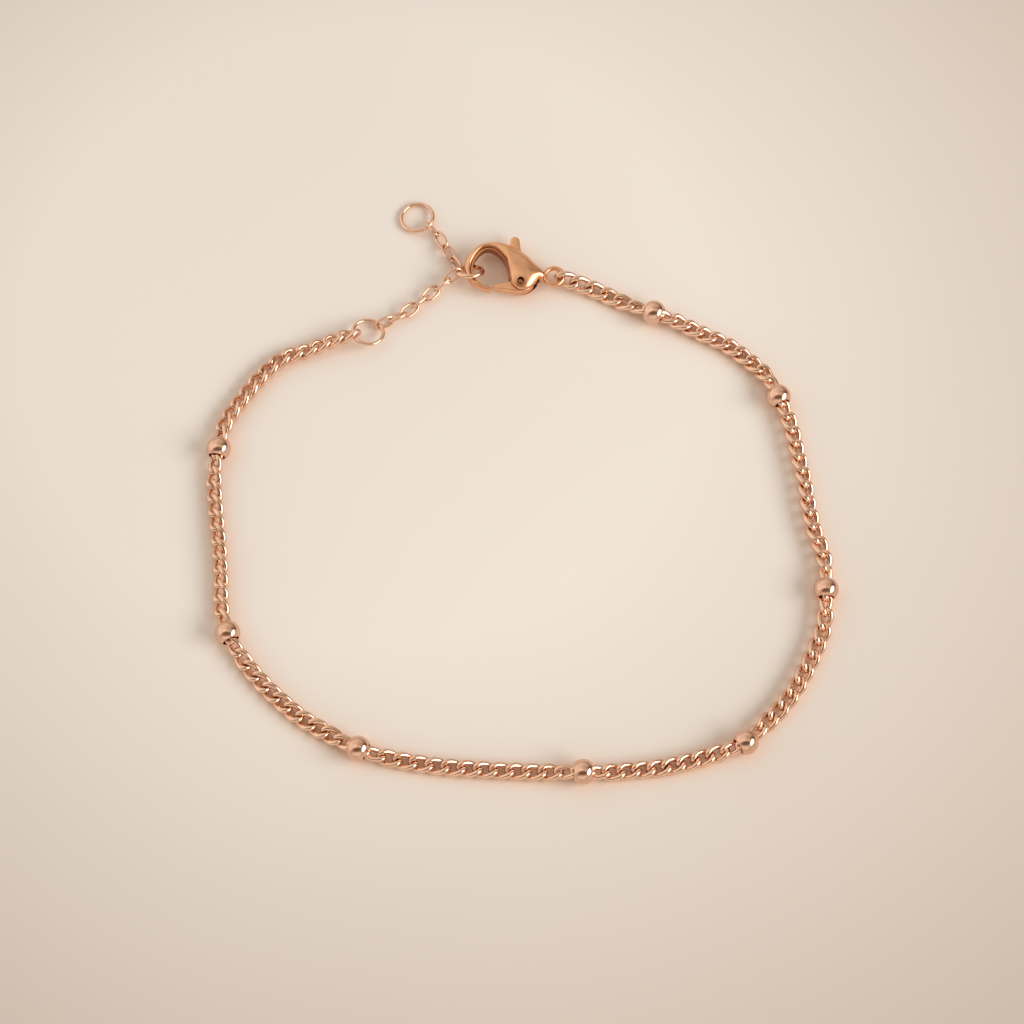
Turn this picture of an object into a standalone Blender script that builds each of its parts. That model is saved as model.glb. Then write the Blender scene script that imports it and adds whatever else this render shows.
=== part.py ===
# Satellite chain bracelet, lying on a surface with its clasp closed round a ring.
# Metres, +Z up. The surface is Z = 0 and the origin is under the middle of the whole bracelet.

import math

import bmesh
import bpy
from mathutils import Matrix, Vector

# Curb chain
CURB_PITCH = 0.00152
CURB_WIDTH = 0.00185
CURB_WIRE = 0.00048
CURB_TWIST = math.radians(-50)
CURB_SQUARENESS = 2.6
CURB_GRIP = 0.00008
CURB_SIDES = 5
CURB_STEPS = 10
SHOULDER_WIDTH = 0.0015
BEAD_LINK_WIDTH = 0.00145

# Satellite beads
BEAD_DIAMETER = 0.0025
BEAD_BORE = 0.00175
BEAD_LENGTH = 0.0017
BEAD_STEPS = 10
BEAD_DROP = 0.00004

# Clasp, in its own plan with the lever's pivot at the origin
CLASP_PIVOT = (0.00015, 0.02167)
CLASP_MIDDLE_HEIGHT = 0.00125
CLASP_SECTION_SIDES = 12
EYELET_PLACE = (0.00342, 0.00093)
EYELET_WIRE = 0.00048
EYELET_DEPTH = 0.0005
EYELET_HOLE = 0.0014
LEVER_THICKNESS = 0.0009
LEVER_BOSS_RADIUS = 0.00072
LEVER_ROOT_REACH = 0.0009
LEVER_TRAVEL = math.radians(22)
GATE_TIP = (-0.00288, -0.00043)
GATE_TIP_WIDTH = 0.00046
GATE_ROOT_WIDTH = 0.0008
TAB_TOP = (-0.00066, 0.00535)
TAB_WIDTH = 0.00098
SLOT_CLEARANCE = 0.00006
SLOT_SHOULDER = (0.0019, 0.00062)
PIN_RADIUS = 0.00028
PIN_CLEARANCE = 0.00005
PIN_RECESS = 0.0003

# Rings of round wire
RING_STEPS = 12
RING_SIDES = 6
CHAIN_RING_DIAMETER = 0.0035
CHAIN_RING_WIRE = 0.00038
CHAIN_RING_CENTRE = (-0.01544, 0.01643, 0.00093)
CHAIN_RING_SLOPE = math.radians(15)
CHAIN_RING_SLOPE_AXIS = math.radians(155)
HOOK_RING_DIAMETER = 0.0032
HOOK_RING_WIRE = 0.0005
HOOK_RING_PLACE = (-0.00528, 0.00152)
HOOK_RING_SLOPE = math.radians(42)
HOOK_RING_SLOPE_AXIS = math.radians(180)
END_RING_DIAMETER = 0.0037
END_RING_WIRE = 0.00038
END_RING_CENTRE = (-0.01062, 0.02984, 0.00042)
END_RING_SLOPE = math.radians(7)
END_RING_SLOPE_AXIS = math.radians(-129)

# Cable links of the extender
CABLE_LENGTH = 0.00225
CABLE_WIDTH = 0.0014
CABLE_WIRE = 0.0003
CABLE_HEIGHT = 0.0007
CABLE_SIDES = 5
CABLE_STEPS = 10
CABLE_SQUARENESS = 2.2

LINK_CLEARANCE = 0.00008
CLIMB_LENGTH = 0.0021
FLOOR_CLEARANCE = 0.00001

# Route of the curb chain over the surface, from the clasp's eyelet clockwise to the chain ring.
# Each row holds x, y, the roll of the chain in degrees, and whether a satellite bead sits there.
CURB_ROUTE = [
    (0.0058, 0.02195, 30, False),
    (0.0081, 0.02115, 10, False),
    (0.0111, 0.01965, -10, False),
    (0.01375, 0.0185, -20, True),
    (0.0167, 0.0174, -20, False),
    (0.0184, 0.01645, -15, False),
    (0.0212, 0.01505, -10, False),
    (0.0232, 0.01345, -10, False),
    (0.0250, 0.0116, -15, False),
    (0.0262, 0.0091, -20, True),
    (0.0273, 0.0062, -30, False),
    (0.0279, 0.00315, -35, False),
    (0.0285, 0.0001, -40, False),
    (0.02885, -0.0028, -35, False),
    (0.02935, -0.0055, -30, False),
    (0.0301, -0.0081, -30, False),
    (0.0302, -0.0117, -30, True),
    (0.02975, -0.01575, -25, False),
    (0.02865, -0.0185, -20, False),
    (0.0273, -0.0211, -20, False),
    (0.0256, -0.0236, -15, False),
    (0.0235, -0.0258, -15, False),
    (0.02185, -0.02745, -15, True),
    (0.0185, -0.02865, -10, False),
    (0.0159, -0.0294, -5, False),
    (0.0135, -0.0299, -5, False),
    (0.0110, -0.03015, 0, False),
    (0.0083, -0.0304, 0, False),
    (0.0061, -0.03045, 0, True),
    (0.0021, -0.03035, 5, False),
    (-0.00085, -0.03025, 5, False),
    (-0.0050, -0.0300, 5, False),
    (-0.0078, -0.02975, 0, False),
    (-0.0107, -0.0293, 0, False),
    (-0.0133, -0.0288, -5, False),
    (-0.0156, -0.0281, -10, True),
    (-0.01905, -0.0262, -15, False),
    (-0.0212, -0.02485, -15, False),
    (-0.0233, -0.0231, -20, False),
    (-0.02525, -0.02115, -25, False),
    (-0.02705, -0.0189, -30, False),
    (-0.0286, -0.01625, -35, True),
    (-0.0294, -0.0133, -45, False),
    (-0.02955, -0.0100, -50, False),
    (-0.02985, -0.0069, -50, False),
    (-0.03025, -0.0036, -45, False),
    (-0.03055, -0.0005, -40, False),
    (-0.03055, 0.0012, -35, False),
    (-0.0302, 0.0034, -30, True),
    (-0.02965, 0.00645, -25, False),
    (-0.0280, 0.00915, -20, False),
    (-0.0261, 0.0117, -15, False),
    (-0.0239, 0.01365, -15, False),
    (-0.0216, 0.01445, -20, False),
    (-0.01965, 0.0152, -30, False),
    (-0.0177, 0.0159, -40, False),
]

# Roll of each cable link in degrees, from the chain ring to the hook ring, and on to the end ring.
EXTENDER_ROLLS = [62, -45, 20, 110, 10, 118, 52]
TAIL_ROLLS = [112, 22, -50, 64]

# Where the extender and the tail meet their rings: the ring's own angle in degrees.
CHAIN_RING_CURB_ANGLE = math.radians(196)
CHAIN_RING_EXTENDER_ANGLE = math.radians(42)
HOOK_RING_EXTENDER_ANGLE = math.radians(195)
HOOK_RING_TAIL_ANGLE = math.radians(140)
END_RING_TAIL_ANGLE = math.radians(-39)

# Places that the extender and its tail pass between their rings, x and y.
EXTENDER_ROUTE = [(-0.0115, 0.0189), (-0.0088, 0.0212)]
TAIL_ROUTE = [(-0.00744, 0.0258), (-0.0083, 0.0274)]

# Ribs of the clasp's body from the neck round to the hook's tip, in the clasp's own plan.
# Each row holds outer x, outer y, inner x, inner y and the half thickness there.
CLASP_RIBS = [
    (0.00230, 0.00160, 0.00230, 0.00050, 0.00048),
    (0.00205, 0.00178, 0.00205, 0.00048, 0.00068),
    (0.00135, 0.00244, 0.00135, -0.00030, 0.00103),
    (0.00080, 0.00305, 0.00080, -0.00068, 0.00122),
    (0.00028, 0.00350, 0.00028, -0.00082, 0.00130),
    (-0.00025, 0.00385, -0.00030, -0.00074, 0.00132),
    (-0.00080, 0.00418, -0.00090, -0.00015, 0.00130),
    (-0.00125, 0.00445, -0.00126, 0.00095, 0.00124),
    (-0.00167, 0.00457, -0.00146, 0.00200, 0.00115),
    (-0.00232, 0.00467, -0.00191, 0.00292, 0.00105),
    (-0.00296, 0.00469, -0.00255, 0.00358, 0.00096),
    (-0.00350, 0.00459, -0.00317, 0.00385, 0.00090),
    (-0.00413, 0.00441, -0.00372, 0.00378, 0.00085),
    (-0.00471, 0.00402, -0.00418, 0.00342, 0.00079),
    (-0.00523, 0.00346, -0.00458, 0.00288, 0.00072),
    (-0.00562, 0.00282, -0.00485, 0.00230, 0.00063),
    (-0.00580, 0.00206, -0.00493, 0.00175, 0.00058),
    (-0.00575, 0.00130, -0.00490, 0.00120, 0.00056),
    (-0.00548, 0.00058, -0.00475, 0.00075, 0.00054),
    (-0.00507, 0.00008, -0.00455, 0.00043, 0.00050),
    (-0.00456, -0.00035, -0.00418, 0.00012, 0.00047),
    (-0.00388, -0.00072, -0.00366, -0.00014, 0.00045),
    (-0.00304, -0.00094, -0.00302, -0.00040, 0.00043),
]

# Lower edge of the lever from under its gate round to its heel, in the clasp's own plan
LEVER_HEEL = [
    (-0.0018, -0.00072),
    (-0.0010, -0.00088),
    (-0.0002, -0.00096),
    (0.00045, -0.00088),
    (0.00098, -0.00060),
    (0.00132, -0.00016),
    (0.00124, 0.00026),
]

# Colours: linear red, green and blue
CLASP_COLOUR = (0.72, 0.36, 0.19, 1.0)
CHAIN_COLOUR = (0.76, 0.42, 0.30, 1.0)
WIRE_COLOUR = (0.80, 0.47, 0.35, 1.0)


def clear_scene():
    for obj in list(bpy.data.objects):
        bpy.data.objects.remove(obj, do_unlink=True)


def make_collection(name):
    collection = bpy.data.collections.new(name)
    bpy.context.scene.collection.children.link(collection)
    return collection


def metal(name, colour, roughness):
    material = bpy.data.materials.new(name)
    material.use_nodes = True
    shader = material.node_tree.nodes["Principled BSDF"]
    shader.inputs["Base Color"].default_value = colour
    shader.inputs["Metallic"].default_value = 1.0
    shader.inputs["Roughness"].default_value = roughness
    return material


def add_part(name, mesh, material, matrix=Matrix.Identity(4)):
    obj = bpy.data.objects.new(name, mesh)
    mesh.materials.clear()
    mesh.materials.append(material)
    obj.matrix_world = matrix
    PARTS.objects.link(obj)
    return obj


def add_cutter(name, mesh):
    obj = bpy.data.objects.new(name, mesh)
    obj.hide_render = True
    obj.display_type = "WIRE"
    CUTTERS.objects.link(obj)
    return obj


def add_boolean(obj, other, operation):
    modifier = obj.modifiers.new(other.name, "BOOLEAN")
    modifier.operation = operation
    modifier.solver = "EXACT"
    modifier.object = other
    return modifier


def smooth(mesh, angle=math.radians(50)):
    mesh.shade_smooth()
    mesh.set_sharp_from_angle(angle=angle)


# Curves made into meshes
def section_curve(radius, sides):
    """The outline of a round wire, with one corner on the inner side of each bend."""
    data = bpy.data.curves.new("wire_section", "CURVE")
    data.dimensions = "2D"
    spline = data.splines.new("POLY")
    spline.points.add(sides - 1)
    for k, point in enumerate(spline.points):
        angle = math.pi * (2 * k / sides + 1)
        point.co = (radius * math.cos(angle), radius * math.sin(angle), 0, 1)
    spline.use_cyclic_u = True
    obj = bpy.data.objects.new("wire_section", data)
    obj.hide_render = True
    CUTTERS.objects.link(obj)
    return obj


def mesh_from_curve(data, name):
    guide = bpy.data.objects.new(name, data)
    bpy.context.scene.collection.objects.link(guide)
    graph = bpy.context.evaluated_depsgraph_get()
    mesh = bpy.data.meshes.new_from_object(guide.evaluated_get(graph))
    mesh.name = name
    bpy.data.objects.remove(guide)
    work = bmesh.new()
    work.from_mesh(mesh)
    bmesh.ops.remove_doubles(work, verts=work.verts, dist=1e-7)
    bmesh.ops.triangulate(work, faces=work.faces)
    bmesh.ops.recalc_face_normals(work, faces=work.faces)
    work.to_mesh(mesh)
    work.free()
    return mesh


def oval_points(half_back, half_ahead, half_width, twist, squareness, steps):
    """Centreline of a link along X: an oval whose plane turns with X, by the twist at its crowns.

    Each crown is the middle of a straight step, and half_back and half_ahead reach to it.
    """
    points = []
    crown = math.cos(math.pi / steps) ** (2 / squareness)
    for k in range(steps):
        angle = 2 * math.pi * (k + 0.5) / steps
        along = math.copysign(abs(math.cos(angle)) ** (2 / squareness), math.cos(angle)) / crown
        aside = math.copysign(abs(math.sin(angle)) ** (2 / squareness), math.sin(angle))
        x = along * (half_ahead if along > 0 else half_back)
        lean = twist * along
        y = half_width * aside * math.cos(lean)
        z = half_width * aside * math.sin(lean)
        points.append((x, y, z))
    return points


def link_mesh(name, points, section):
    data = bpy.data.curves.new(name, "CURVE")
    data.dimensions = "3D"
    data.twist_mode = "Z_UP"
    data.bevel_mode = "OBJECT"
    data.bevel_object = section
    spline = data.splines.new("POLY")
    spline.points.add(len(points) - 1)
    for point, place in zip(spline.points, points):
        point.co = (*place, 1)
    spline.use_cyclic_u = True
    return mesh_from_curve(data, name)


# Routes
def smooth_route(points, steps=24):
    """Points of a smooth curve through the given ones, which are vectors of any length."""
    first = points[0] * 2 - points[1]
    last = points[-1] * 2 - points[-2]
    padded = [first, *points, last]
    route = []
    for i in range(1, len(padded) - 2):
        before, start, end, after = padded[i - 1 : i + 3]
        knots = [0.0]
        for one, other in ((before, start), (start, end), (end, after)):
            knots.append(knots[-1] + math.sqrt((other - one).length))
        for k in range(steps):
            route.append(centripetal(before, start, end, after, knots, k / steps))
    route.append(points[-1].copy())
    return route


def centripetal(before, start, end, after, knots, share):
    at = knots[1] + (knots[2] - knots[1]) * share

    def between(one, other, low, high):
        return one * ((high - at) / (high - low)) + other * ((at - low) / (high - low))

    a = between(before, start, knots[0], knots[1])
    b = between(start, end, knots[1], knots[2])
    c = between(end, after, knots[2], knots[3])
    d = between(a, b, knots[0], knots[2])
    e = between(b, c, knots[1], knots[3])
    return between(d, e, knots[1], knots[2])


class Route:
    """A curve that is read by the distance along it."""

    def __init__(self, points):
        self.points = smooth_route(points)
        self.runs = [0.0]
        for one, other in zip(self.points, self.points[1:]):
            self.runs.append(self.runs[-1] + (other - one).length)
        self.length = self.runs[-1]

    def at(self, distance):
        distance = min(max(distance, 0.0), self.length)
        i = 0
        while i < len(self.runs) - 2 and self.runs[i + 1] < distance:
            i += 1
        share = (distance - self.runs[i]) / (self.runs[i + 1] - self.runs[i])
        return self.points[i].lerp(self.points[i + 1], share)

    def direction(self, distance, reach=0.0004):
        low = max(distance - reach, 0.0)
        high = min(distance + reach, self.length)
        return (self.at(high) - self.at(low)).normalized()

    def nearest(self, place):
        index = min(range(len(self.points)), key=lambda i: (self.points[i] - place).length)
        return self.runs[index]


def link_matrix(place, direction, roll):
    aside = Vector((0, 0, 1)).cross(direction).normalized()
    up = direction.cross(aside)
    turned = Matrix((direction, aside, up)).transposed().to_4x4()
    return Matrix.Translation(place) @ turned @ Matrix.Rotation(roll, 4, "X")


# Rings
def ring_matrix(centre, slope, slope_axis):
    axis = Vector((math.cos(slope_axis), math.sin(slope_axis), 0))
    return Matrix.Translation(centre) @ Matrix.Rotation(slope, 4, axis)


def ring_point(centre, diameter, wire, slope, slope_axis, angle):
    """Centre of a ring's wire at an angle seen from above."""
    radius = (diameter - wire) / 2
    flat = Vector((radius * math.cos(angle), radius * math.sin(angle), 0))
    return ring_matrix(centre, slope, slope_axis) @ flat


def wire_ring(name, centre, diameter, wire, slope, slope_axis):
    bpy.ops.mesh.primitive_torus_add(
        major_radius=(diameter - wire) / 2,
        minor_radius=wire / 2,
        major_segments=RING_STEPS,
        minor_segments=RING_SIDES,
    )
    made = bpy.context.object
    mesh = made.data
    mesh.name = name
    bpy.data.objects.remove(made)
    smooth(mesh, math.radians(80))
    return add_part(name, mesh, WIRE_METAL, ring_matrix(centre, slope, slope_axis))


# Curb chain
def link_half_height(roll):
    """How far a rolled curb link reaches below its axis."""
    half_width = (CURB_WIDTH - CURB_WIRE) / 2
    points = oval_points(1, 1, half_width, CURB_TWIST, CURB_SQUARENESS, 72)
    heights = [y * math.sin(roll) + z * math.cos(roll) for _, y, z in points]
    return CURB_WIRE / 2 - min(heights)


def curb_ends():
    """Where the chain's two ends hold on: the eyelet's centre and the chain ring's wire."""
    eyelet = Vector((*CLASP_PIVOT, CLASP_MIDDLE_HEIGHT)) + Vector((*EYELET_PLACE, 0))
    ring = ring_point(
        CHAIN_RING_CENTRE,
        CHAIN_RING_DIAMETER,
        CHAIN_RING_WIRE,
        CHAIN_RING_SLOPE,
        CHAIN_RING_SLOPE_AXIS,
        CHAIN_RING_CURB_ANGLE,
    )
    return eyelet, ring


def curb_stations():
    """Place, direction, roll, spacing and bead neighbourhood of every link, in order."""
    eyelet, ring = curb_ends()
    flat_points = [Vector((eyelet.x, eyelet.y, 0))]
    flat_points += [Vector((x, y, 0)) for x, y, _, _ in CURB_ROUTE]
    flat_points.append(Vector((ring.x, ring.y, 0)))
    route = Route(flat_points)

    half_link = (CURB_PITCH + CURB_WIRE) / 2
    first = EYELET_HOLE / 2 - LINK_CLEARANCE - CURB_WIRE / 2 + half_link
    last = route.length - half_link + (CHAIN_RING_WIRE + CURB_WIRE) / 2 + LINK_CLEARANCE
    beads = [route.nearest(Vector((x, y, 0))) for x, y, _, bead in CURB_ROUTE if bead]

    # The roll is read along the route, and each end link stands so that its crown is upright.
    upright = math.radians(90)
    rolls = [(first, upright + CURB_TWIST)]
    for x, y, roll, _ in CURB_ROUTE:
        rolls.append((route.nearest(Vector((x, y, 0))), math.radians(roll)))
    rolls.append((last, upright - CURB_TWIST - math.pi))
    rolls = [row for row in rolls if first <= row[0] <= last]

    marks = [first, *beads, last]
    stations = []
    for start, end in zip(marks, marks[1:]):
        count = max(round((end - start) / CURB_PITCH), 2)
        for k in range(count if end != last else count + 1):
            stations.append([start + (end - start) * k / count, (end - start) / count])

    heights = [(bead, BEAD_DIAMETER / 2 - BEAD_DROP) for bead in beads]
    heights += [(first, eyelet.z), (last, ring.z)]
    links = []
    for distance, spacing in stations:
        roll = read_table(rolls, distance)
        height = link_half_height(roll) + FLOOR_CLEARANCE
        lift = 0.0
        for mark, level in heights:
            lift += max(level - height, 0) * math.exp(-(((distance - mark) / CLIMB_LENGTH) ** 2))
        place = route.at(distance)
        place.z = height + lift
        to_bead = min(abs(distance - bead) for bead in beads)
        links.append({"place": place, "roll": roll, "spacing": spacing, "to_bead": to_bead})
    bead_places = [(route.at(bead), route.direction(bead, CURB_PITCH)) for bead in beads]
    return links, bead_places


def read_table(table, at):
    for (low, start), (high, end) in zip(table, table[1:]):
        if at <= high:
            return start + (end - start) * max(at - low, 0) / (high - low)
    return table[-1][1]


def link_width(to_bead, spacing):
    if to_bead < spacing / 2:
        return BEAD_LINK_WIDTH
    if to_bead < spacing * 3 / 2:
        return SHOULDER_WIDTH
    return CURB_WIDTH


def curb_chain(name, links, stretch, section):
    """One run of interlocking links, fused where each crown bears on the next."""
    halves = [bmesh.new(), bmesh.new()]
    for i in stretch:
        link = links[i]
        before = links[max(i - 1, 0)]["place"]
        after = links[min(i + 1, len(links) - 1)]["place"]
        direction = (after - before).normalized()
        gap_back = (link["place"] - before).length or link["spacing"]
        gap_ahead = (after - link["place"]).length or link["spacing"]
        grip_back = CURB_GRIP if i != stretch[0] else -LINK_CLEARANCE
        grip_ahead = CURB_GRIP if i != stretch[-1] else -LINK_CLEARANCE
        points = oval_points(
            (gap_back + CURB_WIRE - grip_back) / 2,
            (gap_ahead + CURB_WIRE - grip_ahead) / 2,
            (link_width(link["to_bead"], link["spacing"]) - CURB_WIRE) / 2,
            CURB_TWIST,
            CURB_SQUARENESS,
            CURB_STEPS,
        )
        mesh = link_mesh("curb_link", points, section)
        mesh.transform(link_matrix(link["place"], direction, link["roll"]))
        halves[i % 2].from_mesh(mesh)
        bpy.data.meshes.remove(mesh)
    meshes = []
    for k, half in enumerate(halves):
        mesh = bpy.data.meshes.new(f"{name}_{'even' if k == 0 else 'odd'}")
        half.to_mesh(mesh)
        half.free()
        smooth(mesh, math.radians(80))
        meshes.append(mesh)
    chain = add_part(name, meshes[0], CHAIN_METAL)
    add_boolean(chain, add_cutter(f"{name}_odd_links", meshes[1]), "UNION")
    return chain


# Beads
def bead_mesh():
    """Turned ball with a wide bore, its axis along Z."""
    outer = BEAD_DIAMETER / 2
    bore = BEAD_BORE / 2
    half = BEAD_LENGTH / 2
    profile = []
    for share in (1, 0.55, 0, -0.55, -1):
        height = half * share
        profile.append((math.sqrt(outer**2 - height**2), height))
    profile += [(bore, -half), (bore, half)]
    mesh = bpy.data.meshes.new("bead_profile")
    edges = [(k, (k + 1) % len(profile)) for k in range(len(profile))]
    mesh.from_pydata([(x, 0, z) for x, z in profile], edges, [])
    turned = bpy.data.objects.new("bead_profile", mesh)
    bpy.context.scene.collection.objects.link(turned)
    screw = turned.modifiers.new("turn", "SCREW")
    screw.steps = BEAD_STEPS
    screw.render_steps = BEAD_STEPS
    screw.use_merge_vertices = True
    screw.merge_threshold = 1e-6
    graph = bpy.context.evaluated_depsgraph_get()
    made = bpy.data.meshes.new_from_object(turned.evaluated_get(graph))
    bpy.data.objects.remove(turned)
    smooth(made, math.radians(60))
    return made


def add_beads(places):
    mesh = bead_mesh()
    for k, (place, direction) in enumerate(places):
        lie = direction.to_track_quat("Z", "Y").to_matrix().to_4x4()
        at = Vector((place.x, place.y, BEAD_DIAMETER / 2))
        # The beads are counted from the chain ring round to the clasp.
        add_part(f"bead_{len(places) - k}", mesh.copy(), BEAD_METAL, Matrix.Translation(at) @ lie)


# Extender
def cable_run(name, start, via, end, wires, rolls):
    """Links from one ring's wire to another's. wires holds the two rings' wire sizes."""
    section = section_curve(CABLE_WIRE / 2, CABLE_SIDES)
    lifted = [Vector((x, y, CABLE_HEIGHT)) for x, y in via]
    route = Route([start, *lifted, end])
    half = (CABLE_LENGTH - CABLE_WIRE) / 2
    first = half - (wires[0] + CABLE_WIRE) / 2 - LINK_CLEARANCE
    last = route.length - half + (wires[1] + CABLE_WIRE) / 2 + LINK_CLEARANCE
    count = len(rolls)
    points = oval_points(half, half, (CABLE_WIDTH - CABLE_WIRE) / 2, 0, CABLE_SQUARENESS, CABLE_STEPS)
    for k, roll in enumerate(rolls):
        distance = first + (last - first) * k / (count - 1)
        mesh = link_mesh(f"{name}_{k + 1:02d}", points, section)
        smooth(mesh, math.radians(80))
        direction = route.direction(distance, half * 0.8)
        matrix = link_matrix(route.at(distance), direction, math.radians(roll))
        add_part(f"{name}_{k + 1:02d}", mesh, WIRE_METAL, matrix)


def hook_ring_centre():
    x, y = HOOK_RING_PLACE
    return (CLASP_PIVOT[0] + x, CLASP_PIVOT[1] + y, CLASP_MIDDLE_HEIGHT)


def add_extender():
    chain_ring = (
        CHAIN_RING_CENTRE,
        CHAIN_RING_DIAMETER,
        CHAIN_RING_WIRE,
        CHAIN_RING_SLOPE,
        CHAIN_RING_SLOPE_AXIS,
    )
    hook_ring = (
        hook_ring_centre(),
        HOOK_RING_DIAMETER,
        HOOK_RING_WIRE,
        HOOK_RING_SLOPE,
        HOOK_RING_SLOPE_AXIS,
    )
    end_ring = (
        END_RING_CENTRE,
        END_RING_DIAMETER,
        END_RING_WIRE,
        END_RING_SLOPE,
        END_RING_SLOPE_AXIS,
    )
    wire_ring("chain_ring", *chain_ring)
    wire_ring("hook_ring", *hook_ring)
    wire_ring("end_ring", *end_ring)
    cable_run(
        "extender_link",
        ring_point(*chain_ring, CHAIN_RING_EXTENDER_ANGLE),
        EXTENDER_ROUTE,
        ring_point(*hook_ring, HOOK_RING_EXTENDER_ANGLE),
        (CHAIN_RING_WIRE, HOOK_RING_WIRE),
        EXTENDER_ROLLS,
    )
    cable_run(
        "tail_link",
        ring_point(*hook_ring, HOOK_RING_TAIL_ANGLE),
        TAIL_ROUTE,
        ring_point(*end_ring, END_RING_TAIL_ANGLE),
        (HOOK_RING_WIRE, END_RING_WIRE),
        TAIL_ROLLS,
    )


# Clasp
def rib_points(outer, inner, half_thickness):
    """An upright oval section between two plan points, flat where it would pass under the surface."""
    middle = (outer + inner) / 2
    half = (outer - inner) / 2
    points = []
    for k in range(CLASP_SECTION_SIDES):
        angle = 2 * math.pi * (k + 0.5) / CLASP_SECTION_SIDES
        side = math.copysign(abs(math.cos(angle)) ** 0.85, math.cos(angle))
        rise = math.copysign(abs(math.sin(angle)) ** 0.85, math.sin(angle))
        z = max(half_thickness * rise, -CLASP_MIDDLE_HEIGHT)
        points.append(Vector((middle.x + half.x * side, middle.y + half.y * side, z)))
    return points


def loft(name, sections):
    work = bmesh.new()
    rings = [[work.verts.new(point) for point in section] for section in sections]
    sides = len(rings[0])
    for one, other in zip(rings, rings[1:]):
        for k in range(sides):
            work.faces.new((one[k], one[(k + 1) % sides], other[(k + 1) % sides], other[k]))
    work.faces.new(rings[0])
    work.faces.new(rings[-1])
    bmesh.ops.triangulate(work, faces=work.faces)
    bmesh.ops.recalc_face_normals(work, faces=work.faces)
    mesh = bpy.data.meshes.new(name)
    work.to_mesh(mesh)
    work.free()
    return mesh


def plate_mesh(name, outline, holes, thickness):
    """A flat outline with round holes, extruded both ways from its middle plane."""
    data = bpy.data.curves.new(name, "CURVE")
    data.dimensions = "2D"
    data.fill_mode = "BOTH"
    data.extrude = thickness / 2
    for loop in (outline, *holes):
        spline = data.splines.new("POLY")
        spline.points.add(len(loop) - 1)
        for point, place in zip(spline.points, loop):
            point.co = (place[0], place[1], 0, 1)
        spline.use_cyclic_u = True
    return mesh_from_curve(data, name)


def circle_points(centre, radius, steps, start=0.0, end=2 * math.pi, closed=False):
    count = steps + 1 if closed else steps
    return [
        (
            centre[0] + radius * math.cos(start + (end - start) * k / steps),
            centre[1] + radius * math.sin(start + (end - start) * k / steps),
        )
        for k in range(count)
    ]


def along(angle, distance, aside=0.0):
    """Plan point at a distance from the pivot, and aside to the left of the way out."""
    return (
        distance * math.cos(angle) - aside * math.sin(angle),
        distance * math.sin(angle) + aside * math.cos(angle),
    )


def clasp_matrix():
    return Matrix.Translation((*CLASP_PIVOT, CLASP_MIDDLE_HEIGHT))


def lever_angles():
    tab = math.atan2(TAB_TOP[1], TAB_TOP[0])
    gate = math.atan2(GATE_TIP[1], GATE_TIP[0]) % (2 * math.pi)
    return tab, gate


def lever_outline():
    """Counterclockwise from the thumb tab's right side, over its round top, to the gate and the heel."""
    tab, gate = lever_angles()
    tab_length = math.hypot(*TAB_TOP)
    gate_length = math.hypot(*GATE_TIP)
    half_tab = TAB_WIDTH / 2
    top_centre = along(tab, tab_length - half_tab)
    outline = [along(tab, LEVER_BOSS_RADIUS, -half_tab)]
    outline += circle_points(top_centre, half_tab, 6, tab - math.pi / 2, tab + math.pi / 2, closed=True)
    outline.append(along(tab, LEVER_ROOT_REACH, half_tab))
    outline.append(along(gate, LEVER_ROOT_REACH, -GATE_ROOT_WIDTH / 2))
    outline.append(along(gate, gate_length, -GATE_TIP_WIDTH / 2))
    outline.append(along(gate, gate_length, GATE_TIP_WIDTH / 2))
    return outline + LEVER_HEEL


def slot_outline():
    """Room in the clasp for the lever from shut to open, open along the lower edge of the body."""
    tab, gate = lever_angles()
    reach = math.hypot(*TAB_TOP)
    half_tab = TAB_WIDTH / 2 + SLOT_CLEARANCE
    half_gate = GATE_ROOT_WIDTH / 2 + SLOT_CLEARANCE
    boss = LEVER_BOSS_RADIUS + 2 * SLOT_CLEARANCE
    root = LEVER_ROOT_REACH + 2 * SLOT_CLEARANCE
    gate_reach = math.hypot(*GATE_TIP) * 0.75
    outside = LEVER_BOSS_RADIUS * 2
    return [
        along(tab - LEVER_TRAVEL, boss, -half_tab),
        along(tab - LEVER_TRAVEL, reach, -half_tab),
        along(tab, reach, half_tab),
        along(tab, root, half_tab),
        along(gate - LEVER_TRAVEL, root, -half_gate),
        along(gate - LEVER_TRAVEL, gate_reach, -half_gate),
        along(gate, gate_reach, outside),
        (0.0, -outside),
        (SLOT_SHOULDER[0], -outside),
        (SLOT_SHOULDER[0] + SLOT_CLEARANCE, SLOT_SHOULDER[1] - LEVER_BOSS_RADIUS),
        SLOT_SHOULDER,
    ]


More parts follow.
